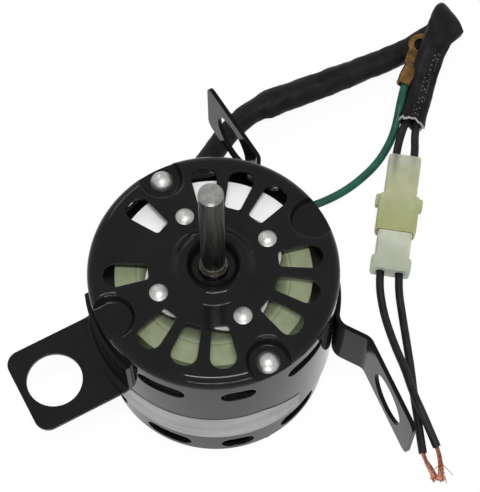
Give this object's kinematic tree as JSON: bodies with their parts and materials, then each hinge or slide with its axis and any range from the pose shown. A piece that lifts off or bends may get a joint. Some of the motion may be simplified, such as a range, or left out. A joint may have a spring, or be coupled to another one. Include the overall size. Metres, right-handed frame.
{
  "type": "draft inducer blower motor",
  "caption": "Shaded pole motor in a vented black drawn shell with three mounting ears, a long plain shaft, a sleeved lead set with a two-way connector and a ground lead.",
  "frame": {"origin": "on the shaft axis, in the flat of the rear hub that the motor stands on", "axes": "+Z along the shaft towards its free end; +X and +Y across the shaft, with the flat ear at azimuth 208.57 degrees from +X and the lead bushing at 101.5 degrees"},
  "size_m": [0.1694, 0.1961, 0.1282],
  "materials": {
    "black_paint": "gloss",
    "lamination_steel": "satin",
    "copper": "satin",
    "white_nylon": "satin",
    "natural_nylon": "satin",
    "green_nylon": "satin",
    "bronze": "satin",
    "zinc_steel": "satin",
    "oil_felt": "matte",
    "label_foil": "satin",
    "black_rubber": "matte",
    "ground_steel": "satin",
    "cast_aluminium": "satin",
    "brown_washer": "matte",
    "contact_brass": "satin",
    "black_sleeve": "satin",
    "black_insulation": "satin",
    "green_insulation": "satin"
  },
  "bodies": {
    "motor": {"front_shell": "black_paint", "rear_shell": "black_paint", "stator_core": "lamination_steel", "shading_coils": "copper", "lead_cover": "white_nylon", "front_bearing": "bronze", "rear_bearing": "bronze", "front_bearing_cup": "zinc_steel", "rear_bearing_cup": "zinc_steel", "front_felt": "oil_felt", "rear_felt": "oil_felt", "front_cup_rivets": "zinc_steel", "rear_cup_rivets": "zinc_steel", "tie_rivets": "zinc_steel", "left_ear": "black_paint", "right_ear": "black_paint", "top_ear": "black_paint", "label": "label_foil", "lead_bushing": "black_rubber", "receptacle_housing": "natural_nylon", "pin_contacts": "contact_brass", "ring_terminal": "contact_brass", "harness_sleeve": "black_sleeve", "ground_lead": "green_insulation", "upper_lead_left": "black_insulation", "upper_lead_right": "black_insulation", "bobbin_1": "green_nylon", "winding_1": "copper", "bobbin_2": "green_nylon", "winding_2": "copper", "bobbin_3": "green_nylon", "winding_3": "copper", "bobbin_4": "green_nylon", "winding_4": "copper"},
    "rotor": {"shaft": "ground_steel", "rotor_core": "lamination_steel", "rotor_cage": "cast_aluminium", "front_collar": "ground_steel", "rear_collar": "ground_steel", "front_thrust_washer": "brown_washer", "rear_thrust_washer": "brown_washer"},
    "plug": {"plug_housing": "white_nylon", "socket_contacts": "contact_brass", "lower_lead_left": "black_insulation", "lower_lead_right": "black_insulation", "bare_ends": "copper"}
  },
  "joints": [
    {"name": "rotor_spin", "type": "hinge", "parent": "motor", "child": "rotor", "pos_m": [0, 0, 0.04], "axis": [0, 0, 1], "continuous": true},
    {"name": "plug_release", "type": "slide", "parent": "motor", "child": "plug", "axis": [-0.1633, -0.9866, 0], "range_m": [0, 0.022]}
  ]
}
